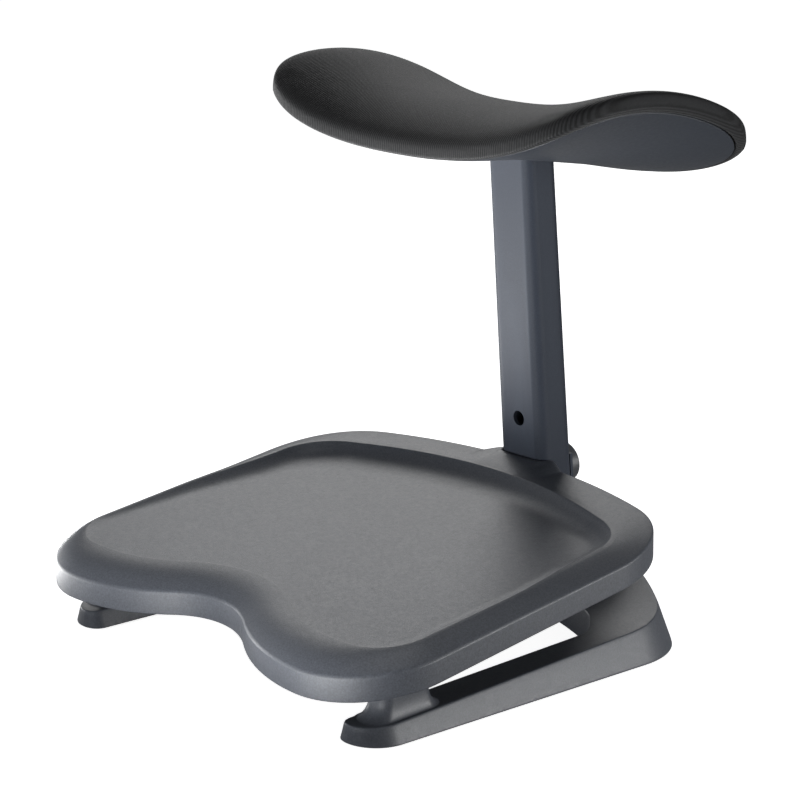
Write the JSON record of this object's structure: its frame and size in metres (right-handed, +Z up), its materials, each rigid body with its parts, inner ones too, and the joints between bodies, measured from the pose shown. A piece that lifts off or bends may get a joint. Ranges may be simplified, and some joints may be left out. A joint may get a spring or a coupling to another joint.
{
  "type": "footrest with calf rest",
  "caption": "Under-desk footrest with a tilted foot tray on a U-shaped base and a padded saddle-shaped calf rest on a height-adjustable post with a lock knob.",
  "frame": {"origin": "on the floor, under the middle of the whole object's box", "axes": "+Z up, +X across the tray to the right, +Y from the tray's notched front to the post"},
  "size_m": [0.407, 0.4224, 0.4208],
  "materials": {
    "grey_moulding": "fine speckled satin",
    "tray_moulding": "fine grained matte",
    "grey_metal": "fine textured powder coat",
    "pad_shell": "smooth matte",
    "fabric": "fine ribbed weave",
    "foam": "open foam",
    "board": "plain plywood",
    "rubber": "matte",
    "black_plastic": "satin",
    "knob": "satin ribbed",
    "zinc_steel": "zinc plated"
  },
  "bodies": {
    "root": {"base_frame": "grey_moulding", "foot_pad_front_left": "rubber", "foot_pad_front_right": "rubber", "foot_pad_rear_left": "rubber", "foot_pad_rear_right": "rubber", "tray_shell": "tray_moulding", "tray_lower_plate": "grey_moulding", "tray_screws": "zinc_steel", "base_bolts": "zinc_steel", "post_socket": "grey_metal", "socket_upper_bush": "black_plastic", "socket_lower_bush": "black_plastic", "socket_bolts": "zinc_steel", "lock_barrel": "zinc_steel"},
    "post": {"post_tube": "grey_metal", "post_foot_plug": "black_plastic", "pad_bracket": "grey_metal", "pad_bracket_bolts": "zinc_steel", "pad_shell": "pad_shell", "pad_board": "board", "pad_foam": "foam", "pad_cover": "fabric"},
    "knob": {"lock_knob": "knob", "knob_cap": "knob"},
    "pin": {"lock_pin": "zinc_steel"}
  },
  "joints": [
    {"name": "post_slide", "type": "slide", "parent": "root", "child": "post", "axis": [0, -0.083, 0.9966], "range_m": [-0.048, 0]},
    {"name": "knob_turn", "type": "hinge", "parent": "root", "child": "knob", "pos_m": [0, 0.14195, 0.0975], "axis": [0, 0.9966, 0.083], "range_deg": [0, 900]},
    {"name": "pin_slide", "type": "slide", "parent": "root", "child": "pin", "axis": [0, -0.9966, -0.083], "range_m": [0, 0.0051]}
  ],
  "couplings": [
    {"joint": "pin_slide", "follows": "knob_turn", "m_per_rad": 0.00031831}
  ]
}
